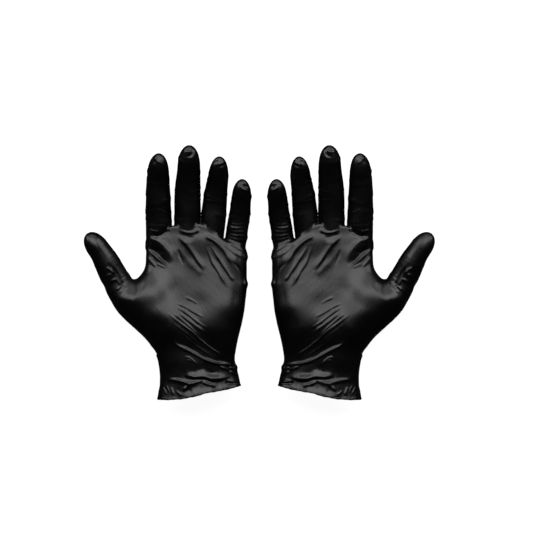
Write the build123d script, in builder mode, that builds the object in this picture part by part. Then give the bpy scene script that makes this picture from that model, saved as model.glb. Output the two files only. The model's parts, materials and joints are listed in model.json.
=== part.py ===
"""A pair of thin dipped nitrile gloves, in the shape that a hand gives them, lying palm up.

Row frame: +X from the left glove to the right one, +Y along the fingers, +Z out of the palms.
The origin is on the surface that the gloves lie on, below the middle of the pair. Millimetres.

Each glove is one film. It is divided at the lines where it bends, so every stretch that moves on its
own is its own sleeve. At each bend the two sleeves are notched: a V on the palm side that closes as
the finger curls, and a narrower one on the back that closes as it straightens.
The left glove is modelled, and the right one is its mirror image in the plane X = 0.
"""

import os
from math import cos, radians, sin, tan

from build123d import *

# ---------------------------------------------------------------- driving dimensions
film = 0.2                  # thickness of the dipped film
slit = 0.3                  # half the slit between two sleeves, at the bend's axis
notch_reach = 17.0          # half the depth of a finger notch's cutter, past the film on both sides
overrun = 2.5               # how far a sleeve is drawn past its bend before the notch trims it
past_end = 1.0              # how far a hollow is cut past the open end that it leaves
dome_share = 0.95           # length of a fingertip's dome, over the radius that it starts from
bead_radius = 1.0           # the film rolled up into the cuff's rim
bead_past_edge = 0.6        # from the cuff's edge to the middle of the bead, so that the edge is inside
wrist_bend_y = -72.0        # where the cuff meets the hand
wrist_bend_z = 19.5
wrist_reach = 30.0          # half the depth of the wrist notch's cutter
wrist_range = (-10.0, 45.0)  # the cuff bends down and up, degrees

# Sections of the hand, from the wrist to the knuckles: y, x from, x to, z from, z to.
# They dip below the surface, where the film lies flat on it.
hand_sections = [
    (-76.0, -93.5, -22.5, 0.4, 37.0),
    (-58.0, -101.5, -19.5, -0.8, 37.2),
    (-30.0, -106.0, -14.0, -1.0, 36.0),
    (4.0, -104.0, -12.0, -1.0, 30.6),
    (31.0, -102.5, -13.0, 2.6, 25.4),
]

# Sections of the base of the thumb: centre x, y, z, heading from +Y towards -X, half width, half height
thumb_root_sections = [
    (-84.0, -46.0, 19.6, 51.0, 22.0, 15.0),
    (-108.0, -26.5, 21.2, 47.0, 19.5, 15.5),
    (-123.6, -12.6, 20.9, 34.0, 14.2, 13.2),
]

# Sections of the cuff: centre x, y, z, how far the section is turned about Z, half width, half height
cuff_sections = [
    (-58.0, -68.5, 18.9, 0.0, 35.8, 18.3),
    (-55.4, -90.0, 19.2, 4.0, 35.4, 18.4),
    (-54.2, -108.0, 21.0, 10.0, 38.4, 20.0),
]

# Each finger: where its lowest bend lies, its heading from +Y towards +X, and per sleeve its length and
# how far it is raised from the surface. Radii are at each bend, then where the tip's dome starts.
fingers = {
    "index": {
        "bend": (-91.4, 47.0, 14.5), "heading": 0.5,
        "lengths": (22.0, 20.0, 22.5), "raised": (8.0, 18.0, 26.0),
        "radii": (11.7, 11.0, 10.1, 8.9), "range": ((-12.0, 60.0), (-12.0, 70.0)),
    },
    "middle": {
        "bend": (-65.2, 52.0, 14.8), "heading": 2.5,
        "lengths": (19.5, 22.0, 26.0), "raised": (8.0, 18.0, 26.0),
        "radii": (11.6, 11.3, 10.4, 9.1), "range": ((-12.0, 60.0), (-12.0, 70.0)),
    },
    "ring": {
        "bend": (-41.7, 51.0, 14.6), "heading": 6.6,
        "lengths": (18.5, 19.0, 21.5), "raised": (8.0, 18.0, 26.0),
        "radii": (11.1, 10.4, 9.5, 8.2), "range": ((-12.0, 60.0), (-12.0, 70.0)),
    },
    "little": {
        "bend": (-20.9, 36.0, 13.4), "heading": 6.5,
        "lengths": (16.0, 15.0, 21.0), "raised": (8.0, 17.0, 25.0),
        "radii": (10.0, 9.6, 9.0, 7.8), "range": ((-12.0, 52.0), (-12.0, 60.0)),
    },
}
tip_follows_middle = 0.5    # the last bend of a finger turns half as far as the one before it

# The thumb's two sleeves head away from the palm, and it curls up and in across the palm.
thumb = {
    "bend": (-129.2, -6.8, 21.8), "headings": (27.7, 35.8), "raised": (14.0, 10.0),
    "lengths": (20.1, 30.7), "radii": (12.5, 10.4, 8.6), "range": ((-10.0, 40.0), (-15.0, 60.0)),
    "curl_tilt": 53.0,      # direction that it curls in, measured from the surface
}

finger_root_length = 27.0   # how far a finger's stub reaches back into the palm
nearly_round = 0.001        # keeps the thumb's last section an ellipse, like the sections it is lofted to
Z = Vector(0, 0, 1)
wrist_plane = Plane(origin=(-58, wrist_bend_y, wrist_bend_z), x_dir=(0, 1, 0), z_dir=(1, 0, 0))


# ---------------------------------------------------------------- where the bends are
def finger_bends(finger):
    """The bends of a finger and its tip, the direction of each sleeve, and the bends' common axis."""
    heading = radians(finger["heading"])
    axis = Vector(cos(heading), -sin(heading), 0)
    along = Vector(sin(heading), cos(heading), 0)
    points = [Vector(*finger["bend"])]
    directions = []
    for length, raised in zip(finger["lengths"], finger["raised"]):
        direction = along * cos(radians(raised)) + Z * sin(radians(raised))
        directions.append(direction)
        points.append(points[-1] + direction * length)
    return points, directions, axis, along


def thumb_bends():
    """The two bends of the thumb and its tip, the direction of each sleeve, and each bend's axis."""
    points = [Vector(*thumb["bend"])]
    directions = []
    axes = []
    for heading, raised, length in zip(thumb["headings"], thumb["raised"], thumb["lengths"]):
        out, up = radians(heading), radians(raised)
        direction = Vector(-sin(out) * cos(up), cos(out) * cos(up), sin(up))
        across = direction.cross(Z).normalized()
        raise_to = across.cross(direction)
        tilt = radians(thumb["curl_tilt"])
        curl_to = across * cos(tilt) + raise_to * sin(tilt)
        directions.append(direction)
        axes.append(direction.cross(curl_to).normalized())
        points.append(points[-1] + direction * length)
    return points, directions, axes


def bend_plane(point, before, after, axis):
    """Sagittal plane of a bend: local x runs along the finger and local y towards the palm side."""
    along = (before + after).normalized()
    return Plane(origin=point, x_dir=along, z_dir=-axis.cross(along).cross(along).normalized())


def notch_outline(reach, bend_range, side):
    """Outline of what a notch takes off: all that lies past the slit. side is 1 for the far sleeve."""
    down, up = bend_range
    palm_edge = slit + reach * tan(radians(up / 2))
    back_edge = slit + reach * tan(radians(-down / 2))
    return [
        (side * slit, 0),
        (side * palm_edge, reach),
        (-side * reach, reach),
        (-side * reach, -reach),
        (side * back_edge, -reach),
    ]


def cross_section(point, direction, axis):
    """Plane across a sleeve, with local x along the bend's axis."""
    return Plane(origin=point, x_dir=axis, z_dir=direction)


# ---------------------------------------------------------------- one sleeve of a finger
def tube_sleeve(name, ends, direction, axis, radii, notches):
    """A conical sleeve between two bends. notches lists each end's bend plane, range and side."""
    start, end = ends[0] - direction * overrun, ends[1] + direction * overrun
    with BuildPart() as sleeve:
        for wall, extra, mode in ((0, 0, Mode.ADD), (film, past_end, Mode.SUBTRACT)):
            with BuildSketch(cross_section(start - direction * extra, direction, axis)):
                Circle(radii[0] - wall)
            with BuildSketch(cross_section(end + direction * extra, direction, axis)):
                Circle(radii[1] - wall)
            loft(mode=mode)
        for plane, bend_range, side in notches:
            with BuildSketch(plane):
                Polygon(*notch_outline(notch_reach, bend_range, side), align=None)
            extrude(amount=notch_reach, both=True, mode=Mode.SUBTRACT)
    sleeve.part.label = name
    return sleeve.part


def tip_sleeve(name, ends, direction, axis, radii, bend, bend_range):
    """A sleeve closed by a dome: a revolved profile, hollowed by the same profile one film inside."""
    length = (ends[1] - ends[0]).length
    dome_start = length - dome_share * radii[1]
    with BuildPart() as sleeve:
        for wall, extra, mode in ((0, 0, Mode.ADD), (film, past_end, Mode.SUBTRACT)):
            back = -overrun - extra
            with BuildSketch(Plane(origin=ends[0], x_dir=direction, z_dir=axis)):
                with BuildLine():
                    side = Line((back, radii[0] - wall), (dome_start, radii[1] - wall))
                    dome = Spline(side @ 1, (length - wall, 0), tangents=(side % 1, (0, -1)))
                    Polyline(dome @ 1, (back, 0), side @ 0)
                make_face()
            revolve(axis=Axis(ends[0], direction), mode=mode)
        with BuildSketch(bend):
            Polygon(*notch_outline(notch_reach, bend_range, 1), align=None)
        extrude(amount=notch_reach, both=True, mode=Mode.SUBTRACT)
    sleeve.part.label = name
    return sleeve.part


def finger_sleeves(name, finger):
    """The three sleeves of a finger, and the plane and range of its lowest bend."""
    points, directions, axis, along = finger_bends(finger)
    low, middle = finger["range"]
    tip_range = tuple(limit * tip_follows_middle for limit in middle)
    ranges = (low, middle, tip_range)
    befores = [along, *directions]
    planes = [
        bend_plane(point, before, after, axis)
        for point, before, after in zip(points, befores, directions)
    ]
    radii = finger["radii"]
    made = []
    for i, part_name in enumerate(("base", "mid")):
        notches = [(planes[i], ranges[i], 1), (planes[i + 1], ranges[i + 1], -1)]
        made.append(tube_sleeve(
            f"left_{name}_{part_name}_sleeve", points[i:i + 2], directions[i], axis,
            radii[i:i + 2], notches,
        ))
    made.append(tip_sleeve(
        f"left_{name}_tip_sleeve", points[2:4], directions[2], axis, radii[2:4], planes[2], ranges[2],
    ))
    return made, planes[0]


def thumb_sleeves():
    """The two sleeves of the thumb, and the plane of its lowest bend."""
    points, directions, axes = thumb_bends()
    radii = thumb["radii"]
    planes = [
        bend_plane(points[0], directions[0], directions[0], axes[0]),
        bend_plane(points[1], directions[0], directions[1], axes[1]),
    ]
    ranges = thumb["range"]
    base = tube_sleeve(
        "left_thumb_base_sleeve", points[0:2], directions[0], axes[0], radii[0:2],
        [(planes[0], ranges[0], 1), (planes[1], ranges[1], -1)],
    )
    tip = tip_sleeve(
        "left_thumb_tip_sleeve", points[1:3], directions[1], axes[1], radii[1:3], planes[1], ranges[1],
    )
    return [base, tip], planes[0]


# ---------------------------------------------------------------- palm
def hand(wall, extra):
    """The flat of the hand, from the wrist to the knuckles, drawn that much smaller than the film."""
    last = len(hand_sections) - 1
    with BuildPart() as flat:
        for i, (y, x_from, x_to, z_from, z_to) in enumerate(hand_sections):
            at = y - extra if i == 0 else y - wall if i == last else y
            centre = Vector((x_from + x_to) / 2, at, (z_from + z_to) / 2)
            with BuildSketch(Plane(origin=centre, x_dir=(1, 0, 0), z_dir=(0, 1, 0))):
                SlotOverall(x_to - x_from - 2 * wall, z_to - z_from - 2 * wall)
        loft()
    return flat.part


def thumb_root(wall, extra):
    """The base of the thumb, from inside the palm to just past the thumb's lowest bend."""
    points, directions, axes = thumb_bends()
    across = directions[0].cross(Z).normalized()
    past_bend = points[0] + directions[0] * (overrun + extra)
    radius = thumb["radii"][0] - wall
    with BuildPart() as root:
        for x, y, z, heading, half_width, half_height in thumb_root_sections:
            out = radians(heading)
            square_on = Plane(
                origin=(x, y, z), x_dir=(cos(out), sin(out), 0), z_dir=(-sin(out), cos(out), 0)
            )
            with BuildSketch(square_on):
                Ellipse(half_width - wall, half_height - wall)
        with BuildSketch(Plane(origin=past_bend, x_dir=across, z_dir=directions[0])):
            Ellipse(radius + nearly_round, radius)
        loft()
    return root.part


def finger_root(name, wall, extra):
    """The straight stub that a finger's lowest sleeve bends from."""
    points, directions, axis, along = finger_bends(fingers[name])
    with BuildPart() as root:
        with BuildSketch(cross_section(points[0] - along * finger_root_length, along, axis)):
            Circle(fingers[name]["radii"][0] - wall)
        extrude(amount=finger_root_length + overrun + extra)
    return root.part


def palm_form(wall, extra):
    """The closed form that the palm's film follows, flat where it lies on the surface."""
    with BuildPart() as form:
        add(hand(wall, extra))
        for name in fingers:
            add(finger_root(name, wall, extra))
        add(thumb_root(wall, extra))
        split(bisect_by=Plane.XY.offset(wall), keep=Keep.TOP)
    return form.part


def palm(finger_planes, thumb_plane):
    """The film over the hand, the base of the thumb and the roots of the fingers."""
    with BuildPart() as skin:
        add(palm_form(0, 0))
        add(palm_form(film, past_end), mode=Mode.SUBTRACT)
        for name, plane in finger_planes.items():
            with BuildSketch(plane):
                Polygon(*notch_outline(notch_reach, fingers[name]["range"][0], -1), align=None)
            extrude(amount=fingers[name]["radii"][0] + slit, both=True, mode=Mode.SUBTRACT)
        with BuildSketch(thumb_plane):
            Polygon(*notch_outline(notch_reach, thumb["range"][0], -1), align=None)
        extrude(amount=notch_reach, both=True, mode=Mode.SUBTRACT)
        with BuildSketch(wrist_plane):
            Polygon(*notch_outline(wrist_reach, wrist_range, 1), align=None)
        extrude(amount=2 * wrist_reach, both=True, mode=Mode.SUBTRACT)
    skin.part.label = "left_palm"
    return skin.part


# ---------------------------------------------------------------- cuff and its rolled rim
def cuff_plane(i, along=0.0):
    """Plane across the cuff at one of its sections, moved that far along its own normal."""
    x, y, z, turned = cuff_sections[i][:4]
    turn = radians(turned)
    normal = Vector(sin(turn), -cos(turn), 0)
    return Plane(origin=Vector(x, y, z) + normal * along, x_dir=(cos(turn), sin(turn), 0), z_dir=normal)


def cuff():
    """The cuff: an open oval sleeve that ends square to its own slanted mouth."""
    last = len(cuff_sections) - 1
    with BuildPart() as sleeve:
        for wall, extra, mode in ((0, 0, Mode.ADD), (film, past_end, Mode.SUBTRACT)):
            for i, section in enumerate(cuff_sections):
                shift = -extra if i == 0 else extra if i == last else 0
                with BuildSketch(cuff_plane(i, shift)):
                    Ellipse(section[4] - wall, section[5] - wall)
            loft(mode=mode)
        with BuildSketch(wrist_plane):
            Polygon(*notch_outline(wrist_reach, wrist_range, -1), align=None)
        extrude(amount=2 * wrist_reach, both=True, mode=Mode.SUBTRACT)
    sleeve.part.label = "left_cuff"
    return sleeve.part


def cuff_bead():
    """The film rolled into a bead round the mouth, with the cuff's edge running into it."""
    half_width, half_height = cuff_sections[-1][4:6]
    with BuildPart() as bead:
        with BuildLine(cuff_plane(-1, bead_past_edge)) as rim:
            EllipticalCenterArc((0, 0), half_width - film / 2, half_height - film / 2, arc_size=360)
        with BuildSketch(Plane(origin=rim.line @ 0, z_dir=rim.line % 0)):
            Circle(bead_radius)
        sweep(path=rim.line)
    bead.part.label = "left_cuff_bead"
    return bead.part


# ---------------------------------------------------------------- the pair
def left_glove():
    """Every piece of the left glove."""
    pieces = []
    finger_planes = {}
    for name, finger in fingers.items():
        sleeves, finger_planes[name] = finger_sleeves(name, finger)
        pieces += sleeves
    sleeves, thumb_plane = thumb_sleeves()
    pieces += sleeves
    pieces.append(palm(finger_planes, thumb_plane))
    pieces.append(cuff())
    pieces.append(cuff_bead())
    return pieces


def mirrored(piece):
    """The same piece of the right glove."""
    with BuildPart() as other:
        mirror(piece, about=Plane.YZ)
    other.part.label = piece.label.replace("left_", "right_")
    return other.part


os.makedirs("parts", exist_ok=True)
for left in left_glove():
    for piece in (left, mirrored(left)):
        export_step(piece, f"parts/{piece.label}.step")
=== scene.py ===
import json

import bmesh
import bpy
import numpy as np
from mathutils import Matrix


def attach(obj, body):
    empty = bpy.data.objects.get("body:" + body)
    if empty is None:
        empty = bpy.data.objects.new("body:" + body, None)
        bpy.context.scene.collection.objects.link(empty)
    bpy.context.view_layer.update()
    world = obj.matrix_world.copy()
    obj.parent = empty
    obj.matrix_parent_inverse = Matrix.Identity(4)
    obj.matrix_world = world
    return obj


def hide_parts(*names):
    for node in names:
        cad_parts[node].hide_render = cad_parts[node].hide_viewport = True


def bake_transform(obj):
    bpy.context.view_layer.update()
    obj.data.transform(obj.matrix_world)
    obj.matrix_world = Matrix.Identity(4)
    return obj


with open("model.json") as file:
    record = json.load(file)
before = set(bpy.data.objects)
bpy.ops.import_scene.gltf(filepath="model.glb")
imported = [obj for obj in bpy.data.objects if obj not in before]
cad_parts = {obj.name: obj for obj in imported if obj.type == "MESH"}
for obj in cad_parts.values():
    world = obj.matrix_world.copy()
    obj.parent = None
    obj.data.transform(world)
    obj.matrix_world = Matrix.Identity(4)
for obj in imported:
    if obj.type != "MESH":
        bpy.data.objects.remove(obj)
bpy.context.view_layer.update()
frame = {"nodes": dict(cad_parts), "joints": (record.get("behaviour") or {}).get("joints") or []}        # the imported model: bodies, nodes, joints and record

# The looks of a pair of thin black dipped gloves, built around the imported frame.
#
# The left glove's film is worked out as one surface. A field of distances, from a loft for the hand and
# the cuff and a tube for each finger, is turned into a mesh. The mesh is cut where the pieces part, and
# creased as one film, so that creases run on across the cuts. Then each piece gets the film's thickness
# and its own rim. The right glove is the mirror image of the left one.
# Lengths are in millimetres, in the row frame, until a mesh is written in metres.

import openvdb
from mathutils import Vector

MM = 0.001

# ------------------------------------------------------------------ driving values, left glove
VOXEL = 0.7                 # size of the mesh's quads
FILM = 0.25                 # thickness of the film
SIDES = {"left": 1, "right": -1}
FINGERS = ("index", "middle", "ring", "little")

# Sections of the hand and the cuff: y, x from, x to, z from, z to, how square (2 is an ellipse)
HAND = [
    (50.0, -103.0, -14.0, 4.0, 23.6, 2.6),
    (43.0, -103.2, -12.8, 2.8, 23.9, 2.6),
    (36.5, -103.3, -12.0, 2.2, 24.5, 2.7),
    (31.0, -103.4, -11.6, 1.5, 25.3, 2.8),
    (24.0, -103.4, -11.5, 0.5, 26.1, 2.9),
    (17.0, -103.3, -11.5, -0.5, 27.2, 3.5),
    (4.0, -104.4, -11.4, -1.0, 29.3, 3.5),
    (-6.0, -108.4, -11.6, -1.0, 31.3, 3.5),
    (-13.0, -110.6, -11.5, -1.0, 32.5, 3.5),
    (-30.0, -109.0, -12.9, -1.0, 35.0, 3.3),
    (-45.0, -104.0, -15.5, -1.0, 37.0, 2.4),
    (-52.0, -101.8, -17.4, -0.9, 37.2, 2.35),
    (-60.0, -97.8, -19.5, -0.8, 36.6, 2.3),
    (-70.0, -93.8, -21.3, 0.3, 35.6, 2.15),
    (-80.0, -92.6, -22.2, 0.7, 35.2, 2.05),
    (-91.0, -91.0, -19.6, 0.8, 35.1, 2.0),
    (-102.0, -90.7, -17.4, 0.9, 36.5, 2.0),
    (-112.0, -92.4, -16.0, 0.9, 38.0, 2.0),
    (-126.0, -94.0, -14.5, 0.9, 39.6, 2.0),
]
# Where the flat of the hand ends between the fingers: x, y
WEBS = [(-108.0, 26.0), (-90.0, 36.0), (-78.8, 42.5), (-66.0, 42.0), (-53.5, 44.5), (-42.0, 38.0),
        (-31.5, 29.0), (-18.0, 24.0), (-8.0, 16.0)]
# Mounds and hollows of the palm: x, y, reach across, reach along, turned from +Y to -X, height
MOUNDS = [
    (-100.5, -35.0, 16.0, 25.0, 42.0, 4.5),
    (-102.0, -11.0, 10.0, 13.0, 35.0, 1.5),
    (-32.0, -40.0, 14.0, 22.0, 0.0, 1.4),
    (-62.0, -14.0, 18.0, 26.0, -10.0, -1.6),
    (-90.0, 24.0, 9.0, 9.0, 0.0, 0.5),
    (-66.0, 26.0, 9.0, 9.0, 0.0, 0.5),
    (-42.0, 24.0, 9.0, 9.0, 0.0, 0.6),
    (-22.0, 11.0, 10.0, 13.0, 0.0, 0.8),
]
# Each finger's film at its three bends and its end: half its breadth, then how far it is off the bend to
# the side. Then how far its end stops short of the CAD's, and the length of its tapered tip.
FINGER_SHAPE = {
    "index": ((11.9, 11.4, 10.1, 9.4), (-0.4, -1.0, -0.9, 0.0), 0.8, 20.0),
    "middle": ((12.2, 11.9, 10.7, 10.2), (-0.4, -1.2, -0.8, -0.7), 0.8, 22.0),
    "ring": ((11.4, 10.7, 9.3, 8.9), (-0.2, -0.5, 0.1, -0.4), 1.7, 20.0),
    "little": ((10.0, 9.6, 9.1, 8.5), (0.1, 0.9, 1.0, 0.2), 0.4, 18.0),
}
FINGER_ROOT = 24.0          # how far a finger's tube starts inside the hand
ROOT_DIP = 1.8              # how far that start is below the finger's lowest bend
# The thumb from inside the palm to its lowest bend: x, y, z, half its breadth, half its depth
THUMB_ROOT = [
    (-84.0, -47.0, 18.0, 20.5, 13.5),
    (-108.8, -29.4, 20.0, 19.0, 15.5),
    (-124.4, -16.3, 21.0, 14.1, 13.4),
]
# The web between the thumb and the hand, and its thin edge: x, y, z, half its breadth, half its depth
WEB = [
    (-120.0, -21.0, 18.0, 8.0, 8.5),
    (-112.0, -21.5, 18.5, 10.0, 11.0),
    (-101.0, -19.0, 19.5, 12.0, 13.2),
    (-90.0, -13.0, 17.0, 10.0, 11.5),
    (-80.0, -8.0, 12.0, 8.0, 7.0),
]
WEB_EDGE = [
    (-121.0, -17.5, 18.5, 5.0, 6.5),
    (-113.0, -15.8, 18.5, 5.0, 8.4),
    (-105.0, -12.5, 18.5, 5.0, 9.4),
    (-97.0, -3.0, 16.0, 5.0, 7.0),
]
# From its lowest bend on: half its breadth, half its depth, how far it is off the line of bends
THUMB_SHAPE = [
    (12.5, 12.2, -0.7),
    (12.2, 11.6, -1.0),
    (11.5, 10.6, -0.7),
    (10.2, 9.8, 0.3),
    (10.0, 9.4, -0.3),
]
THUMB_TIP = 16.0            # length of its tapered tip
THUMB_ROLL = 0.18           # how much its top falls towards the palm, per distance to the side

# The grid that the film is worked out on, and how widely its parts round off where they join
GRID_LOW = np.array([-166.0, -124.0, -3.2])
GRID_HIGH = np.array([-6.0, 121.0, 50.0])
FAR_OFF = 50.0              # stands for no surface near
FIELD_BAND = 3.0            # how far from the surface the field is kept, in mm and in voxels
WEB_END_ROUND = 2.0         # the edge of the hand's flat between the fingers
ROOT_ROUND = (0.8, 5.0)     # a finger and the hand: past the knuckles, and well inside the hand
ROOT_ROUND_Y = (44.0, 14.0)
WEB_ROUND = 10.0            # the web and the hand
WEB_EDGE_ROUND = 9.0
THUMB_ROUND = (4.5, 16.0)   # the thumb and the web: at its outer end, and inside the palm
FLOOR_ROUND = 2.5           # the film's edge where it lies flat

CUT_BEFORE_ROOT = 6.0       # from the cut at the foot of a finger to its lowest bend
WRIST_CUT = -56.0           # y of the cut between palm and cuff
RIM_AT = (-54.2, -108.6)    # x, y of the middle of the cuff's rim
RIM_TURN = 10.0             # degrees that the rim is turned
BEAD_PROUD = 0.6            # how far the middle of the rolled bead stands out of the film


# ------------------------------------------------------------------ small helpers
def smoothstep(low, high, x):
    t = np.clip((x - low) / (high - low), 0, 1)
    return t * t * (3 - 2 * t)


def smooth_min(a, b, reach):
    close = np.clip(reach - np.abs(a - b), 0, None) / reach
    return np.minimum(a, b) - close * close * reach / 4


def bell(x):
    return np.exp(-x * x)


def curve_through(points, steps):
    """Points along a smooth curve through the given ones, in any number of dimensions."""
    p = np.array(points, float)
    p = np.vstack([2 * p[0] - p[1], p, 2 * p[-1] - p[-2]])
    t = (np.arange(steps) / steps)[:, None]
    spans = [
        0.5 * (2 * b + (c - a) * t + (2 * a - 5 * b + 4 * c - d) * t**2 + (3 * b - a - 3 * c + d) * t**3)
        for a, b, c, d in zip(p[:-3], p[1:-2], p[2:-1], p[3:])
    ]
    return np.vstack([*spans, p[-2:-1]])


def waves(points, size, seed, count=9):
    """A smooth random field from -1 to 1 or so: waves of about that length, in random directions."""
    chance = np.random.default_rng(seed)
    total = np.zeros(len(points))
    for _ in range(count):
        direction = chance.normal(size=points.shape[1])
        direction *= chance.uniform(0.7, 1.4) / (np.linalg.norm(direction) * size)
        total += np.sin(2 * np.pi * (points @ direction + chance.uniform()))
    return total / np.sqrt(count)


def joint_at(name):
    joint = next(j for j in frame["joints"] if j["name"] == name)
    return np.array(joint["pos_m"]) / MM


def far_point(node, origin):
    """The vertex of a CAD node that is farthest from a point: a fingertip, seen from its last bend."""
    points = np.array([v.co for v in frame["nodes"][node].data.vertices]) / MM
    return points[np.argmax(np.linalg.norm(points - origin, axis=1))]


# ------------------------------------------------------------------ tubes for the fingers and the thumb
def make_tube(knots, halves, depths, tip_length, bends, roll=0.0):
    """A tube along a smooth line through knots, some of them bends, with its half sizes at each.

    roll is how much its top falls towards the right, per distance to the side.
    """
    rows = curve_through([(*k, a, b) for k, a, b in zip(knots, halves, depths)], 8)
    line = rows[:, :3]
    runs = np.linalg.norm(np.diff(line, axis=0), axis=1)
    arc = np.concatenate([[0], np.cumsum(runs)])
    fine = np.linspace(0, arc[-1], 400)
    into_tip = np.clip((fine - (arc[-1] - tip_length)) / max(tip_length, 1e-6), 0, 1)
    taper = np.sqrt(np.clip(1 - into_tip**2.2, 1e-4, 1))
    half = np.interp(fine, arc, rows[:, 3]) * taper
    depth = np.interp(fine, arc, rows[:, 4]) * taper
    heading = np.gradient(line, axis=0)
    heading /= np.linalg.norm(heading, axis=1)[:, None]
    return {"line": line, "arc": arc, "heading": heading, "fine": fine, "half": half, "depth": depth,
            "slope": np.abs(np.gradient(half, fine)), "bends": [arc[8 * i] for i in bends], "roll": roll}


def tube_coordinates(tube, points):
    """How far along the tube each point is, and how far it is to the side, above and ahead of it."""
    best = np.full(len(points), np.inf)
    s = np.zeros(len(points))
    for a, b, start in zip(tube["line"][:-1], tube["line"][1:], tube["arc"][:-1]):
        run = b - a
        t = np.clip((points - a) @ run / (run @ run), 0, 1)
        distance = ((points - a - t[:, None] * run) ** 2).sum(1)
        closer = distance < best
        best[closer] = distance[closer]
        s[closer] = start + t[closer] * np.linalg.norm(run)
    centre = np.stack([np.interp(s, tube["arc"], tube["line"][:, i]) for i in range(3)], 1)
    heading = np.stack([np.interp(s, tube["arc"], tube["heading"][:, i]) for i in range(3)], 1)
    heading /= np.linalg.norm(heading, axis=1)[:, None]
    aside = np.cross(heading, (0.0, 0.0, 1.0))
    aside /= np.linalg.norm(aside, axis=1)[:, None]
    above = np.cross(aside, heading)
    away = points - centre
    to_side = (away * aside).sum(1)
    return s, to_side, (away * above).sum(1) + tube["roll"] * to_side, (away * heading).sum(1)


def tube_field(tube, points):
    """Distance from the tube's surface, negative inside."""
    s, aside, above, ahead = tube_coordinates(tube, points)
    half = np.interp(s, tube["fine"], tube["half"])
    depth = np.interp(s, tube["fine"], tube["depth"])
    slope = np.interp(s, tube["fine"], tube["slope"])
    radius = np.hypot(aside, above)
    share = np.maximum(np.hypot(aside / half, above / depth), 1e-3)
    side = radius - np.maximum(radius, 1e-3) / share
    side /= np.sqrt(1 + np.minimum(slope, 4.0) ** 2)
    beyond = np.where(s >= tube["arc"][-1] - 1e-6, np.maximum(ahead, 0), 0)
    beyond += np.where(s <= 1e-6, np.maximum(-ahead, 0), 0)
    return np.where(beyond > 0, np.hypot(np.maximum(side, 0), beyond), side)


def to_the_side(start, end):
    """The level direction that is to the right of the way from start to end."""
    run = np.array(end) - start
    return np.array([run[1], -run[0], 0.0]) / np.hypot(run[0], run[1])


def finger_tube(name):
    base, mid, tip = (joint_at(f"left_{name}_{n}_bend") for n in ("base", "mid", "tip"))
    halves, shifts, short, tip_length = FINGER_SHAPE[name]
    end = far_point(f"left_{name}_tip_sleeve", tip)
    end = end - (end - tip) / np.linalg.norm(end - tip) * short
    right = to_the_side(base, end)
    base, mid, tip, end = (p + right * shift for p, shift in zip((base, mid, tip, end), shifts))
    level = np.array([(mid - base)[0], (mid - base)[1], 0.0])
    root = base - level / np.linalg.norm(level) * FINGER_ROOT - (0, 0, ROOT_DIP)
    halves = (halves[0], *halves)
    return make_tube((root, base, mid, tip, end), halves, [h * 0.97 for h in halves], tip_length, (1, 2, 3))


def thumb_tube():
    base, tip = joint_at("left_thumb_base_bend"), joint_at("left_thumb_tip_bend")
    end = far_point("left_thumb_tip_sleeve", tip)
    knots = [base, (base + tip) / 2, tip, tip + 0.37 * (end - tip), end]
    sides = [to_the_side(base, tip)] * 3 + [to_the_side(tip, end)] * 2
    knots = [p + side * row[2] for p, side, row in zip(knots, sides, THUMB_SHAPE)]
    halves = [row[3] for row in THUMB_ROOT] + [row[0] for row in THUMB_SHAPE]
    depths = [row[4] for row in THUMB_ROOT] + [row[1] for row in THUMB_SHAPE]
    first = len(THUMB_ROOT)
    knots = [row[:3] for row in THUMB_ROOT] + knots
    return make_tube(knots, halves, depths, THUMB_TIP, (first, first + 2), THUMB_ROLL)


TUBES = {name: finger_tube(name) for name in FINGERS}
TUBES["thumb"] = thumb_tube()


# ------------------------------------------------------------------ the film as one surface
def hand_field(x, y, z):
    """Distance from the loft of the hand and the cuff. x, y and z are the grid's own axes."""
    rows = curve_through(HAND, 8)[::-1]
    x_from, x_to, z_from, z_to, square = (np.interp(y, rows[:, 0], rows[:, i]) for i in range(1, 6))
    top = np.zeros((len(x), len(y)))
    for mound_x, mound_y, across, along, turned, height in MOUNDS:
        turn = np.radians(turned)
        dx, dy = (x - mound_x)[:, None], (y - mound_y)[None, :]
        u = (dx * np.cos(turn) + dy * np.sin(turn)) / across
        v = (dy * np.cos(turn) - dx * np.sin(turn)) / along
        top += height * bell(np.hypot(u, v))
    half, depth = (x_to - x_from) / 2, (z_to - z_from) / 2
    u = np.abs((x[:, None] - (x_from + x_to) / 2) / half)[:, :, None]
    middle = ((z_from + z_to) / 2)[None, :, None]
    lifted = z[None, None, :] - top[:, :, None] * smoothstep(4, 20, z)[None, None, :]
    v = np.abs(lifted - middle) / depth[None, :, None]
    n = square[None, :, None]
    share = np.maximum((u**n + v**n) ** (1 / n), 0.05)
    across, upward = u ** (n - 1) / half[None, :, None], v ** (n - 1) / depth[None, :, None]
    steepness = share ** (1 - n) * np.hypot(across, upward)
    field = (share - 1) / np.maximum(steepness, 1 / half.max())
    web_line = curve_through(WEBS, 8)
    end = y[None, :] - np.interp(x, web_line[:, 0], web_line[:, 1])[:, None]
    return -smooth_min(-field, -np.repeat(end[:, :, None], len(z), 2), WEB_END_ROUND)


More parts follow.
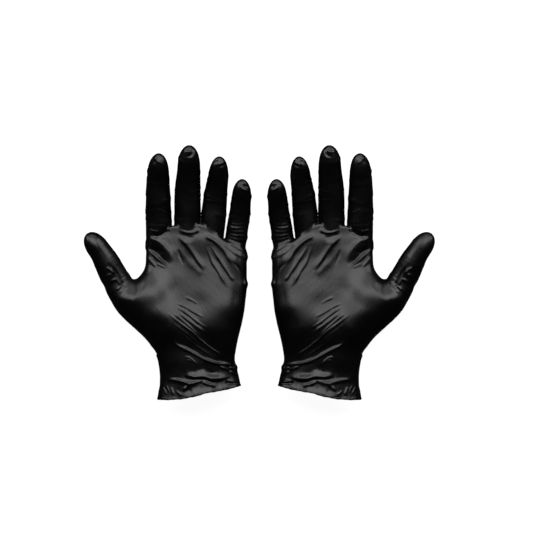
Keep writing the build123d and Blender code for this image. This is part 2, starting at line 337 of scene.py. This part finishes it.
def whole_field():
    """The field on the grid: the hand, its fingers, the web and the thumb, cut off flat at the surface."""
    size = np.ceil((GRID_HIGH - GRID_LOW) / VOXEL).astype(int)
    axes = [GRID_LOW[i] + VOXEL * np.arange(size[i]) for i in range(3)]
    x, y, z = axes
    fingers = np.full(size, FAR_OFF)
    for name in FINGERS:
        fill_tube(fingers, TUBES[name], 17, axes)
    thumb = np.full(size, FAR_OFF)
    fill_tube(thumb, TUBES["thumb"], 26, axes)
    webs = []
    for rows in (WEB, WEB_EDGE):
        knots, halves, depths = zip(*((row[:3], row[3], row[4]) for row in rows))
        webs.append(np.full(size, FAR_OFF))
        fill_tube(webs[-1], make_tube(knots, halves, depths, 0.0, ()), 24, axes)
    narrow, wide = ROOT_ROUND
    at_roots = narrow + (wide - narrow) * smoothstep(*ROOT_ROUND_Y, y)[None, :, None]
    field = smooth_min(hand_field(x, y, z), fingers, at_roots)
    field = smooth_min(smooth_min(field, webs[0], WEB_ROUND), webs[1], WEB_EDGE_ROUND)
    in_palm = smoothstep(-113.0, -100.0, x)[:, None] + smoothstep(-10.0, -26.0, y)[None, :]
    narrow, wide = THUMB_ROUND
    field = smooth_min(field, thumb, (narrow + (wide - narrow) * np.clip(in_palm, 0, 1))[:, :, None])
    return -smooth_min(-field, np.broadcast_to(z, field.shape), FLOOR_ROUND)


def fill_tube(into, tube, reach, axes):
    """Writes a tube's field into the part of a grid that is within reach of its line."""
    low, high = tube["line"].min(0) - reach, tube["line"].max(0) + reach
    picks = [np.flatnonzero((a > lo) & (a < hi)) for a, lo, hi in zip(axes, low, high)]
    x, y, z = np.meshgrid(*(a[p] for a, p in zip(axes, picks)), indexing="ij")
    near = tube_field(tube, np.stack([x.ravel(), y.ravel(), z.ravel()], 1)).reshape(x.shape)
    block = np.ix_(*picks)
    into[block] = np.minimum(into[block], near)


def film_mesh():
    """The film's outer surface as points and quads, closed over the cuff's mouth."""
    grid = openvdb.FloatGrid(FIELD_BAND)
    grid.copyFromArray(np.clip(whole_field(), -FIELD_BAND, FIELD_BAND).astype(np.float32))
    points, quads = grid.convertToQuads(0.0)
    return points.astype(float) * VOXEL + GRID_LOW, quads


def plane_of(point, normal):
    normal = np.array(normal, float)
    return np.array(point, float), normal / np.linalg.norm(normal)


def cut_planes():
    """Every cut between pieces: the two labels it parts, its point and its normal, along the finger."""
    cuts = {}
    for name in FINGERS:
        base, mid, tip = (joint_at(f"left_{name}_{n}_bend") for n in ("base", "mid", "tip"))
        first, second, third = mid - base, tip - mid, far_point(f"left_{name}_tip_sleeve", tip) - tip
        unit = first / np.linalg.norm(first)
        cuts[name] = [
            plane_of(base - unit * CUT_BEFORE_ROOT, first),
            plane_of((base + mid) / 2, unit + second / np.linalg.norm(second)),
            plane_of((mid + tip) / 2, second / np.linalg.norm(second) + third / np.linalg.norm(third)),
        ]
    base, tip = joint_at("left_thumb_base_bend"), joint_at("left_thumb_tip_bend")
    end = far_point("left_thumb_tip_sleeve", tip)
    unit = (tip - base) / np.linalg.norm(tip - base)
    cuts["thumb"] = [
        plane_of(base - unit * CUT_BEFORE_ROOT, unit),
        plane_of((base + tip) / 2, unit + (end - tip) / np.linalg.norm(end - tip)),
    ]
    return cuts


CUTS = cut_planes()
PARTS = {name: ("base", "mid", "tip") for name in FINGERS}
PARTS["thumb"] = ("base", "tip")
TURN = np.radians(RIM_TURN)
RIM = plane_of((*RIM_AT, 23.0), (np.sin(TURN), -np.cos(TURN), 0.0))


def finger_of(points):
    """Which finger each point belongs to past the webs, or "" for the hand. By the nearest tube."""
    names = np.full(len(points), "", dtype=object)
    best = np.full(len(points), 3.0)
    for name, tube in TUBES.items():
        distance = np.abs(tube_field(tube, points))
        origin, normal = CUTS[name][0]
        past = (points - origin) @ normal > -3.0
        closer = (distance < best) & past
        names[closer] = name
        best[closer] = distance[closer]
    return names


def cut_mesh(points, quads):
    """Cuts the closed mesh along every plane and opens the mouth. Returns points and polygons."""
    mesh = bpy.data.meshes.new("film")
    mesh.from_pydata(points, [], quads.tolist())
    bm = bmesh.new()
    bm.from_mesh(mesh)
    bpy.data.meshes.remove(mesh)
    bm.faces.ensure_lookup_table()
    centres = points[quads].mean(1)
    owner = finger_of(centres)
    jobs = []
    for name, planes in CUTS.items():
        for origin, normal in planes:
            jobs.append((origin, normal, (owner == name) & (np.abs((centres - origin) @ normal) < 3)))
    in_hand = owner == ""
    jobs.append(((0, WRIST_CUT, 0), (0, -1, 0), in_hand & (np.abs(centres[:, 1] - WRIST_CUT) < 3)))
    origin, normal = RIM
    jobs.append((origin, normal, in_hand & ((centres - origin) @ normal > -3)))
    faces = [[bm.faces[i] for i in np.flatnonzero(job[2])] for job in jobs]
    for (origin, normal, _), picked in zip(jobs, faces):
        edges = {e for f in picked for e in f.edges}
        verts = {v for f in picked for v in f.verts}
        bmesh.ops.bisect_plane(
            bm, geom=picked + list(edges) + list(verts), dist=0.12 * VOXEL,
            plane_co=tuple(origin), plane_no=tuple(normal), use_snap_center=True,
        )
    past_rim = [f for f in bm.faces if (np.array(f.calc_center_median()) - RIM[0]) @ RIM[1] > 0]
    bmesh.ops.delete(bm, geom=past_rim, context="FACES")
    bm.verts.index_update()
    made = np.array([v.co for v in bm.verts])
    polygons = [[v.index for v in f.verts] for f in bm.faces]
    bm.free()
    return made, polygons


def labels_of(points, polygons):
    """The piece that each polygon belongs to."""
    centres = np.array([points[p].mean(0) for p in polygons])
    owner = finger_of(centres)
    labels = np.where(centres[:, 1] < WRIST_CUT, "cuff", "palm").astype(object)
    for name, planes in CUTS.items():
        past = [(centres - origin) @ normal > 0 for origin, normal in planes]
        for part, beyond in zip(PARTS[name], past):
            labels[(owner == name) & beyond] = f"{name}_{part}"
    return labels


# ------------------------------------------------------------------ normals and smoothing
def corner_triangles(polygons):
    return np.array([(p[0], p[i], p[i + 1]) for p in polygons for i in range(1, len(p) - 1)])


def normals_of(points, triangles):
    a, b, c = (points[triangles[:, i]] for i in range(3))
    face = np.cross(b - a, c - a)
    total = np.stack([
        sum(np.bincount(triangles[:, k], face[:, i], len(points)) for k in range(3)) for i in range(3)
    ], 1)
    return total / np.maximum(np.linalg.norm(total, axis=1), 1e-12)[:, None]


def links_of(polygons):
    pairs = {(min(a, b), max(a, b)) for p in polygons for a, b in zip(p, p[1:] + p[:1])}
    return np.array(sorted(pairs))


def relax(points, links, share, rounds):
    """Moves every point towards the middle of its neighbours."""
    count = np.bincount(links.ravel(), minlength=len(points))[:, None]
    for _ in range(rounds):
        total = np.stack([
            np.bincount(links[:, 0], points[links[:, 1], i], len(points))
            + np.bincount(links[:, 1], points[links[:, 0], i], len(points)) for i in range(3)
        ], 1)
        target = total / np.maximum(count, 1)
        points = points + share * (target - points)
    return points


# ------------------------------------------------------------------ creases
# Folds of the palm side: points x, y along the crest from left to right, height (negative for a groove),
# then how wide the fold is on the fingers' side of its crest and on the cuff's side
CREASES = [
    # the foot of the index finger, and the hollow under it
    (((-92, 57.5), (-88, 55.5), (-83.5, 53)), 0.3, 0.8, 0.7),
    (((-101.3, 40), (-96, 37.3), (-90.5, 37.3)), 0.45, 1.0, 0.8),
    (((-99.5, 35), (-92.7, 33), (-86.4, 35.2), (-81, 40)), -0.9, 2.4, 1.5),
    (((-105, 34), (-97.5, 30.3), (-91.5, 28), (-85.5, 23.8), (-81.2, 16.5), (-79.3, 8)), 0.8, 1.8, 3.6),
    (((-105, 24), (-97, 20), (-91.5, 15.8), (-86.4, 10.3), (-80.5, 4.5)), -1.3, 3.4, 1.2),
    (((-99.5, 18.8), (-91, 11.8), (-81, 4)), 0.6, 1.0, 0.9),
    (((-103, 15), (-97.5, 9), (-93.5, 4.5)), 0.5, 1.8, 1.0),
    (((-93.5, 8.3), (-89, 6), (-84.5, 4)), 0.35, 0.9, 0.8),
    # the foot of the middle finger, and folds that run from it across the palm
    (((-74, 38.5), (-65, 36.4), (-58.7, 37), (-54.5, 40.2)), 0.7, 1.0, 1.3),
    (((-73, 34.2), (-66, 33), (-58.5, 30.5)), -0.4, 1.8, 3.0),
    (((-74.5, 33.5), (-67.5, 26.5), (-60.8, 18), (-54.5, 8.5), (-50, 1.5)), 0.85, 2.8, 1.3),
    (((-73.5, 22), (-66, 12), (-57.5, 3), (-51, -3)), 0.27, 2.8, 2.4),
    (((-74, 22), (-71.5, 14.5), (-68.8, 6)), -0.4, 1.0, 1.2),
    # folds from the foot of the ring finger towards the edge of the hand
    (((-51.5, 34.8), (-45, 31.3), (-38, 26.3), (-32.5, 20.8), (-28, 13.8), (-23.5, 6)), 1.0, 2.2, 2.0),
    (((-37, 29.5), (-29.5, 23.5), (-22.5, 18), (-12.5, 12.2)), 0.35, 1.8, 1.4),
    (((-44.5, 25), (-37.4, 13.8), (-31.2, 4.3), (-25.8, -4), (-22.5, -8)), 0.7, 1.2, 1.2),
    (((-47.6, 24), (-43.2, 11), (-35.8, -1.5), (-28.3, -13.8)), 0.55, 1.6, 1.1),
    (((-24.5, 11), (-18, 2.5), (-14.3, -7), (-13.6, -18)), -0.5, 1.2, 1.2),
    # rings round the foot of the little finger
    (((-27, 44.5), (-19, 43.2), (-10.5, 45)), 0.25, 0.8, 0.7),
    (((-28, 41.3), (-19, 40.2), (-11, 41.5)), 0.3, 0.9, 0.7),
    (((-28.5, 38), (-20, 36.6), (-11, 37.6)), 0.3, 0.8, 0.7),
    (((-29, 35), (-20, 33.2), (-11, 33.5)), 0.3, 0.9, 0.8),
    (((-29.5, 32.5), (-20, 29.8), (-11.5, 28.8)), 0.25, 0.9, 0.7),
    (((-29.5, 30.5), (-21, 26.2), (-12, 23.5)), 0.3, 0.9, 0.8),
    (((-29, 28), (-21.5, 23), (-12.5, 18.5)), 0.3, 1.0, 0.8),
    # parallel folds across the middle of the palm
    (((-85.5, -34.2), (-71.9, -45.3), (-60.4, -53.6), (-54, -60), (-45, -67.6), (-37.3, -72.8), (-25.5, -81)),
     0.65, 0.8, 0.9),
    (((-77.5, -36.8), (-70.7, -42.2), (-60.4, -51.2), (-51.5, -60.5)), 0.45, 0.7, 0.7),
    (((-73, -35.8), (-64.3, -43), (-55.3, -49.6), (-45.5, -56.5)), 0.45, 1.1, 0.9),
    (((-76, -30.3), (-65.5, -37.1), (-55.3, -44.9), (-45.5, -51)), 0.4, 0.9, 0.7),
    (((-76, -27), (-66.8, -31.4), (-57.8, -36.6), (-49.5, -41)), 0.35, 0.9, 0.7),
    (((-68, -21.8), (-61, -25), (-55, -28.8)), 0.2, 0.8, 0.8),
    (((-71.5, -53.5), (-57.8, -65.3), (-39.9, -78)), 0.3, 0.7, 0.7),
    (((-80, -44), (-66, -55), (-52, -67)), 0.2, 0.8, 0.8),
    # the wrist: one long fold that gathers at the little finger's side
    (((-79.8, -58.8), (-74.5, -65.2), (-65.5, -69.7), (-55.3, -75.5), (-47.6, -79.3), (-39.9, -81.9),
      (-30, -83.3), (-14, -85.5)), 1.5, 1.25, 1.0),
    (((-37.5, -84.5), (-32, -86.8), (-27, -89)), 1.0, 1.2, 0.8),
    (((-28, -86), (-24, -87.3), (-20.5, -87)), 0.8, 1.2, 0.8),
    (((-27.5, -89.5), (-24, -91.5), (-21, -94)), 0.8, 1.0, 0.8),
    (((-68, -77.5), (-64.3, -76.6), (-60, -79.2), (-56, -83.8)), 0.6, 0.6, 0.7),
    (((-66, -79.5), (-62.5, -79.3), (-60, -81.5)), 0.4, 0.6, 0.6),
    (((-30, -77), (-26.5, -80), (-24, -83)), 0.4, 0.6, 0.6),
    # the cuff, and the film that gathers at its rim
    (((-69, -92), (-62, -94.2), (-54, -95), (-49.5, -94.9), (-43, -96.4), (-33, -96), (-26, -93.5)),
     2.0, 3.8, 1.0),
    (((-85, -97.2), (-77, -97), (-70.7, -98.1), (-62.2, -99.6), (-53.7, -97.9), (-49.5, -96)), 1.1, 1.5, 1.2),
    (((-69.5, -105.7), (-64.8, -102), (-62.3, -99.8)), 0.8, 1.2, 1.0),
    (((-52.5, -98.2), (-45.2, -100.8), (-39, -101.9)), 1.0, 1.3, 1.0),
    (((-75, -111.7), (-62, -110), (-54, -108.6), (-46, -107.2), (-36, -105.6)), 1.5, 3.4, 1.0),
    (((-41, -105.8), (-31, -104.3), (-24, -103.2), (-16, -102)), 1.5, 3.0, 1.0),
    (((-31, -99.4), (-26, -99.9), (-20, -100.4)), -0.8, 0.9, 1.2),
    (((-29, -98.3), (-24.5, -98.6), (-20, -98.8)), 0.7, 0.9, 0.7),
    (((-92, -115.4), (-84, -113.9), (-73, -112)), 0.7, 1.6, 1.0),
    (((-88, -103), (-86, -106), (-84, -109.5)), 0.5, 0.8, 0.6),
    (((-84.5, -102), (-82.5, -105), (-81.5, -108)), 0.4, 0.7, 0.6),
    (((-80, -103), (-78.7, -106), (-77.7, -109.5)), 0.5, 0.8, 0.7),
    (((-75, -105), (-73, -107), (-70, -108.5)), 0.5, 0.8, 0.7),
    (((-89.3, -85), (-88.8, -90), (-88.9, -95)), 0.3, 0.6, 0.6),
    (((-86.5, -86), (-85.8, -91), (-85.5, -96)), 0.25, 0.6, 0.6),
    # the foot of the thumb
    (((-136.5, 8.8), (-130.8, 2.4), (-127.2, -3.6), (-123.8, -10.2), (-122.6, -13)), -0.9, 1.1, 1.1),
    (((-138.6, 4.8), (-134.5, 2), (-129.8, -1.6)), 0.8, 1.0, 0.9),
    (((-139.5, -3.9), (-136, -2.6), (-132.8, -2.3)), 0.6, 1.3, 0.9),
    (((-135.2, -9.8), (-131.5, -6.8), (-129, -7.6)), 0.7, 1.2, 0.9),
    (((-130.8, -4.2), (-127.4, -8.3), (-124.6, -12.6)), 0.6, 0.9, 0.9),
    (((-129.4, -16.8), (-126.6, -14), (-124, -11.6)), 0.5, 0.9, 0.8),
    (((-127, -19.5), (-121.8, -14.8), (-116.8, -12)), 0.35, 0.9, 0.8),
    (((-125.1, -1), (-121.8, -4.3), (-120.1, -7.6)), 0.25, 1.0, 1.0),
]
# Bumps of slack along the edges of the hand: x, y, reach, height
EDGE_BUMPS = [
    (-94.0, -76.0, 2.4, 1.0),
    (-21.0, -86.0, 2.6, 1.0),
    (-11.5, 14.0, 2.6, 0.9),
    (-12.0, -10.5, 3.0, 1.0),
]


def crease_height(points, facing, crease, seed):
    """How far one fold of the palm side lifts each point."""
    path, height, above, below = crease
    line = curve_through(path, 8)
    reach = 3 * max(above, below)
    near = (facing > 0) & (points[:, 0] > line[:, 0].min() - reach)
    near &= (points[:, 0] < line[:, 0].max() + reach)
    near &= (points[:, 1] > line[:, 1].min() - reach) & (points[:, 1] < line[:, 1].max() + reach)
    flat = points[near][:, :2]
    best = np.full(len(flat), np.inf)
    along = np.zeros(len(flat))
    width = np.full(len(flat), above)
    for i, (a, b) in enumerate(zip(line[:-1], line[1:])):
        run = b - a
        away = flat - a
        t = np.clip(away @ run / (run @ run), 0, 1)
        distance = np.linalg.norm(away - t[:, None] * run, axis=1)
        closer = distance < best
        best[closer] = distance[closer]
        along[closer] = (i + t[closer]) / (len(line) - 1)
        side = run[0] * away[:, 1] - run[1] * away[:, 0]
        width[closer] = np.where(side > 0, above, below)[closer]
    uneven = 1 + 0.16 * waves(flat, 14, seed)
    fade = smoothstep(0, 0.28, along) * smoothstep(0, 0.28, 1 - along)
    lift = np.zeros(len(points))
    lift[near] = height * fade * uneven * bell(best / (width * uneven)) * smoothstep(0.0, 0.35, facing[near])
    return lift


def ring_heights(points, owner):
    """Slack rings round the fingers and the thumb, deeper at the bends."""
    lift = np.zeros(len(points))
    for number, (name, tube) in enumerate(TUBES.items()):
        mine = owner == name
        s, aside, above, _ = tube_coordinates(tube, points[mine])
        angle = np.arctan2(above, aside)
        chance = np.random.default_rng(31 + number)
        places = [(bend + d, 0.36) for bend in tube["bends"] for d in (-3.6, -0.6, 2.6)]
        places += [(chance.uniform(tube["arc"][-1] * 0.35, tube["arc"][-1] - 12), 0.34) for _ in range(7)]
        total = np.zeros(mine.sum())
        for place, size in places:
            tilt, phase, open_at = chance.uniform(-1.6, 1.6), chance.uniform(0, 6.3), chance.uniform(0, 6.3)
            width = chance.uniform(0.9, 2.4)
            centre = place + chance.uniform(-0.8, 0.8) + tilt * np.sin(angle - phase)
            centre += 0.5 * np.sin(3 * angle + phase)
            strength = smoothstep(0.1, 0.95, np.cos(angle - open_at))
            total += size * chance.uniform(0.6, 1.2) * strength * bell((s - centre) / width)
        at_sides = (0.35 + 0.65 * np.abs(np.cos(angle))) * (0.4 if name == "thumb" else 1.0)
        lift[mine] = total * at_sides * smoothstep(0, 4, tube["arc"][-1] - 8 - s)
    return lift


def fingertip_dents(points, facing):
    """A pinch of slack film at the end of each fingertip."""
    lift = np.zeros(len(points))
    for number, name in enumerate(FINGERS):
        tip = TUBES[name]["line"][-1]
        flat = points[:, :2] - tip[:2] + (0, 6.5)
        chance = np.random.default_rng(71 + number)
        for _ in range(3):
            place = chance.uniform((-3.0, -2.5), (3.0, 2.5))
            turn, curve = chance.uniform(0, np.pi), chance.uniform(-0.12, 0.12)
            u = (flat - place) @ (np.cos(turn), np.sin(turn))
            v = (flat - place) @ (-np.sin(turn), np.cos(turn)) + curve * u * u
            lift += chance.choice((-0.6, 0.6)) * bell(u / 3.6) * bell(v / 1.1) * smoothstep(0, 0.4, facing)
    return lift


def edge_bumps(points, normals):
    """Slack that stands out at the edge of the hand."""
    lift = np.zeros(len(points))
    level = smoothstep(0.4, 0.9, np.hypot(normals[:, 0], normals[:, 1]))
    for x, y, reach, height in EDGE_BUMPS:
        lift += height * level * bell(np.hypot(points[:, 0] - x, points[:, 1] - y) / reach)
    return lift


def slack_height(points, normals):
    """Fine slack all over: shallow wrinkles, drawn out along the pull of the film, and cuff ripples."""
    x, y, z = points.T
    pull = np.stack([(x * 0.80 + y * 0.60) / 2.6, (y * 0.80 - x * 0.60) / 16.0, z / 7.0], 1)
    fine = 0.010 * waves(pull, 1.0, 5, 12)
    broad = 0.175 * waves(points, 26.0, 6)
    cuff = smoothstep(-76, -96, y)
    angle = np.arctan2(z - 20, x + 55)
    ripple = 0.07 * waves(np.stack([angle * 5.0, y / 9.0], 1), 1.0, 7, 12)
    ripple += 0.03 * waves(np.stack([angle * 12.0, y / 16.0], 1), 1.0, 8, 12)
    back = smoothstep(0.2, -0.6, normals[:, 2])
    return (fine + broad) * (1 - 0.5 * back) + cuff * ripple * (1 + back)


def rim_warp(points):
    """The cuff's mouth isn't flat: it dips and rises along its rim."""
    x, y, z = points.T
    u = (x + 92) / 76
    on_palm = smoothstep(12, 30, z)
    dip = -2.5 * bell((u - 0.34) / 0.24) - 1.3 * bell((u - 0.75) / 0.16) - 1.2 * bell((u - 0.93) / 0.08)
    behind = 1.4 * np.sin(9.0 * u + 1.0)
    share = smoothstep(-94, -110, y)
    moved = points.copy()
    moved[:, 1] += share * (on_palm * dip + (1 - on_palm) * behind)
    return moved


def creased(points, polygons):
    """The film with all its folds, and its normals."""
    triangles = corner_triangles(polygons)
    normals = normals_of(points, triangles)
    facing = normals[:, 2]
    lift = slack_height(points, normals)
    for seed, crease in enumerate(CREASES):
        lift += crease_height(points, facing, crease, 100 + seed)
    lift += ring_heights(points, finger_of(points))
    lift += fingertip_dents(points, facing)
    lift += edge_bumps(points, normals)
    lift *= smoothstep(0.0, 1.5, points[:, 2]) * 0.85 + 0.15
    moved = rim_warp(points + normals * lift[:, None])
    moved[:, 2] = np.maximum(moved[:, 2], 0.0)
    return moved, normals_of(moved, triangles)


# ------------------------------------------------------------------ pieces
def add_piece(name, points, polygons, normals, material):
    """A mesh object from points in millimetres, with a normal for each corner, or None for smooth ones."""
    mesh = bpy.data.meshes.new(name)
    mesh.from_pydata((np.array(points) * MM).tolist(), [], polygons)
    mesh.polygons.foreach_set("use_smooth", [True] * len(polygons))
    mesh.materials.append(material)
    if normals is not None:
        mesh.normals_split_custom_set(normals)
    piece = bpy.data.objects.new(name, mesh)
    bpy.context.scene.collection.objects.link(piece)
    return piece


def shell(points, normals, polygons):
    """A closed thin shell: the outer film, the inner film one thickness in, and the rims between.

    Returns its points, polygons and corner normals, then the outer film's open edges and the number that
    each of its points had before.
    """
    used = sorted({i for p in polygons for i in p})
    renamed = {old: new for new, old in enumerate(used)}
    outer = [[renamed[i] for i in p] for p in polygons]
    count = len(used)
    outside, out_normals = points[used], normals[used]
    inside = outside - out_normals * FILM
    inner = [[i + count for i in reversed(p)] for p in outer]
    directed = {(a, b) for p in outer for a, b in zip(p, p[1:] + p[:1])}
    open_edges = [(a, b) for a, b in directed if (b, a) not in directed]
    open_edges.sort()
    rims = [[b, a, a + count, b + count] for a, b in open_edges]
    everywhere = np.vstack([outside, inside])
    corner_normals = [tuple(out_normals[i]) for p in outer for i in p]
    corner_normals += [tuple(-out_normals[i - count]) for p in inner for i in p]
    for b, a, c, d in rims:
        face = np.cross(everywhere[a] - everywhere[b], everywhere[c] - everywhere[b])
        corner_normals += [tuple(face / max(np.linalg.norm(face), 1e-9))] * 4
    return everywhere, outer + inner + rims, corner_normals, open_edges, used


def mirrored(points, polygons, normals):
    flip = np.array([-1.0, 1.0, 1.0])
    turned = [list(reversed(p)) for p in polygons]
    turned_normals = None
    if normals is not None:
        turned_normals = []
        at = 0
        for p in polygons:
            turned_normals += [(-x, y, z) for x, y, z in reversed(normals[at:at + len(p)])]
            at += len(p)
    return points * flip, turned, turned_normals


def rim_loop(points, edges, used):
    """The points of the cuff's rim in order, from the open edges that lie near the mouth."""
    following = {}
    for a, b in edges:
        if (points[used[a]] - RIM[0]) @ RIM[1] > -12:
            following[used[a]] = used[b]
    start = min(following)
    loop = [start]
    while following[loop[-1]] != start:
        loop.append(following[loop[-1]])
    return points[loop]


def bead_mesh(rim):
    """The rolled bead: an uneven round cord along the rim, with the roll's spiral line round it."""
    steps, around = 260, 14
    closed = np.vstack([rim, rim[:1]])
    lengths = np.linalg.norm(np.diff(closed, axis=0), axis=1)
    arc = np.concatenate([[0], np.cumsum(lengths)])
    at = np.linspace(0, arc[-1], steps, endpoint=False)
    line = np.stack([np.interp(at, arc, closed[:, i]) for i in range(3)], 1)
    for _ in range(4):
        line = (np.roll(line, 1, 0) + 2 * line + np.roll(line, -1, 0)) / 4
    heading = np.roll(line, -1, 0) - np.roll(line, 1, 0)
    heading /= np.linalg.norm(heading, axis=1)[:, None]
    out = np.cross(heading, np.broadcast_to(RIM[1], heading.shape))
    out /= np.linalg.norm(out, axis=1)[:, None]
    end = np.cross(out, heading)
    line = line + BEAD_PROUD * out
    turn = 2 * np.pi * np.arange(steps) / steps
    thick = 1.05 + 0.16 * np.sin(7 * turn + 1) + 0.12 * np.sin(13 * turn + 2) + 0.08 * np.sin(29 * turn)
    angle = 2 * np.pi * np.arange(around) / around
    off_groove = angle[None, :] - 2.2 - 0.5 * np.sin(5 * turn)[:, None]
    radius = thick[:, None] - 0.16 * bell(np.angle(np.exp(1j * off_groove)) / 0.35)
    points = (
        line[:, None, :]
        + (radius * np.cos(angle))[:, :, None] * out[:, None, :]
        + (radius * np.sin(angle))[:, :, None] * end[:, None, :]
    )
    points[:, :, 2] = np.maximum(points[:, :, 2], 0.05)
    polygons = [
        [i * around + j, i * around + (j + 1) % around,
         (i + 1) % steps * around + (j + 1) % around, (i + 1) % steps * around + j]
        for i in range(steps) for j in range(around)
    ]
    return points.reshape(-1, 3), polygons


# ------------------------------------------------------------------ materials
def film_material(name, shade, rough):
    """Satin black nitrile: a fine pebbled skin, faint clouding of its gloss, and small stretch marks."""
    material = bpy.data.materials.new(name)
    material.use_nodes = True
    nodes, links = material.node_tree.nodes, material.node_tree.links
    surface = nodes["Principled BSDF"]
    place = nodes.new("ShaderNodeTexCoord")

    clouds = nodes.new("ShaderNodeTexNoise")
    clouds.inputs["Scale"].default_value = 45.0
    clouds.inputs["Detail"].default_value = 4.0
    links.new(place.outputs["Object"], clouds.inputs["Vector"])

    gloss = nodes.new("ShaderNodeMapRange")
    gloss.inputs["From Min"].default_value = 0.3
    gloss.inputs["From Max"].default_value = 0.7
    gloss.inputs["To Min"].default_value = rough - 0.06
    gloss.inputs["To Max"].default_value = rough + 0.07
    links.new(clouds.outputs["Fac"], gloss.inputs["Value"])
    links.new(gloss.outputs["Result"], surface.inputs["Roughness"])

    tint = nodes.new("ShaderNodeMix")
    tint.data_type = "RGBA"
    tint.inputs["A"].default_value = (shade * 0.8, shade * 0.8, shade * 0.82, 1)
    tint.inputs["B"].default_value = (shade * 1.25, shade * 1.25, shade * 1.28, 1)
    links.new(clouds.outputs["Fac"], tint.inputs["Factor"])
    links.new(tint.outputs["Result"], surface.inputs["Base Color"])

    pebble = nodes.new("ShaderNodeTexNoise")
    pebble.inputs["Scale"].default_value = 1700.0
    pebble.inputs["Detail"].default_value = 3.0
    links.new(place.outputs["Object"], pebble.inputs["Vector"])
    stretch = nodes.new("ShaderNodeTexNoise")
    stretch.inputs["Scale"].default_value = 420.0
    stretch.inputs["Detail"].default_value = 2.0
    squeeze = nodes.new("ShaderNodeMapping")
    squeeze.inputs["Rotation"].default_value = (0, 0, 0.65)
    squeeze.inputs["Scale"].default_value = (1.0, 0.16, 1.0)
    links.new(place.outputs["Object"], squeeze.inputs["Vector"])
    links.new(squeeze.outputs["Vector"], stretch.inputs["Vector"])

    fine = nodes.new("ShaderNodeBump")
    fine.inputs["Strength"].default_value = 0.25
    fine.inputs["Distance"].default_value = 0.00005
    links.new(pebble.outputs["Fac"], fine.inputs["Height"])
    long = nodes.new("ShaderNodeBump")
    long.inputs["Strength"].default_value = 0.35
    long.inputs["Distance"].default_value = 0.00005
    links.new(stretch.outputs["Fac"], long.inputs["Height"])
    links.new(fine.outputs["Normal"], long.inputs["Normal"])
    links.new(long.outputs["Normal"], surface.inputs["Normal"])
    surface.inputs["IOR"].default_value = 1.5
    return material


def floor_material():
    """Plain white paper that is lit from within a little, so that it stays pale all over."""
    material = bpy.data.materials.new("pale_floor")
    material.use_nodes = True
    surface = material.node_tree.nodes["Principled BSDF"]
    surface.inputs["Base Color"].default_value = (0.3, 0.3, 0.3, 1)
    surface.inputs["Roughness"].default_value = 0.9
    surface.inputs["Emission Color"].default_value = (1, 1, 1, 1)
    surface.inputs["Emission Strength"].default_value = 0.95
    return material


NITRILE = film_material("nitrile_film", 0.001, 0.29)
ROLLED = film_material("rolled_bead", 0.0012, 0.28)


def place_piece(side, label, points, polygons, normals):
    """Writes one piece of one glove, ties the palm and the bead to their bodies, and hides the CAD part it
    stands for.
    """
    if side == "right":
        points, polygons, normals = mirrored(points, polygons, normals)
    bead = label == "cuff_bead"
    title = f"{side}_rolled_bead" if bead else f"{side}_{label}_film"
    piece = add_piece(title, points, polygons, normals, ROLLED if bead else NITRILE)
    palm = f"{side}_palm"
    if label in ("palm", "cuff_bead"):
        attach(piece, f"{side}_cuff" if bead else palm)
        node = f"{side}_{label}"
    elif label == "cuff":
        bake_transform(piece)
        node = f"{side}_cuff"
    else:
        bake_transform(piece)
        node = f"{side}_{label}_sleeve"
    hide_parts(node)


def make_gloves():
    points, polygons = cut_mesh(*film_mesh())
    links = links_of(polygons)
    points = relax(points, links, 0.5, 2)
    labels = labels_of(points, polygons)
    moved, normals = creased(points, polygons)
    for label in sorted(set(labels)):
        mine = [polygon for polygon, its_label in zip(polygons, labels) if its_label == label]
        body, faces, corners, edges, used = shell(moved, normals, mine)
        if label == "cuff":
            bead_points, bead_faces = bead_mesh(rim_loop(moved, edges, used))
        for side in SIDES:
            place_piece(side, label, body, faces, corners)
    for side in SIDES:
        place_piece(side, "cuff_bead", bead_points, bead_faces, None)


make_gloves()


# ------------------------------------------------------------------ floor, light and camera
def add_floor():
    mesh = bpy.data.meshes.new("floor")
    mesh.from_pydata([(-20, -20, 0), (20, -20, 0), (20, 20, 0), (-20, 20, 0)], [], [(0, 1, 2, 3)])
    mesh.materials.append(floor_material())
    floor = bpy.data.objects.new("floor", mesh)
    floor.location.z = -0.0004
    floor.visible_glossy = False
    bpy.context.scene.collection.objects.link(floor)


def add_softbox(name, place, aim, size, power):
    light = bpy.data.lights.new(name, "AREA")
    light.shape = "RECTANGLE"
    light.size, light.size_y = size
    light.energy = power
    lamp = bpy.data.objects.new(name, light)
    lamp.location = place
    lamp.rotation_euler = (Vector(aim) - Vector(place)).to_track_quat("-Z", "Y").to_euler()
    lamp.visible_camera = False
    bpy.context.scene.collection.objects.link(lamp)


def add_light():
    add_softbox("key", (0.0, 1.15, 1.75), (0, 0, 0), (2.0, 1.2), 24.0)
    add_softbox("back", (0.0, 1.8, 0.75), (0, 0, 0), (1.8, 1.1), 8.0)
    for side in (-1, 1):
        add_softbox(f"side_{side}", (1.25 * side, 1.05, 0.8), (0, 0, 0), (0.9, 1.2), 9.0)
    world = bpy.data.worlds.new("studio")
    world.use_nodes = True
    world.node_tree.nodes["Background"].inputs["Color"].default_value = (1, 1, 1, 1)
    world.node_tree.nodes["Background"].inputs["Strength"].default_value = 0.015
    bpy.context.scene.world = world


def add_camera():
    """Straight above the gloves, with the fingers up, 0.5 m of floor across the picture."""
    width, lens, level = 0.5005, 150.0, 0.02
    data = bpy.data.cameras.new("camera")
    data.lens = lens
    data.sensor_width = 36.0
    camera = bpy.data.objects.new("camera", data)
    camera.location = (0.0142, -0.0023, level + width * lens / data.sensor_width)
    data.clip_end = 100
    bpy.context.scene.collection.objects.link(camera)
    bpy.context.scene.camera = camera


add_floor()
add_light()
add_camera()
bpy.context.scene.view_settings.view_transform = "Standard"
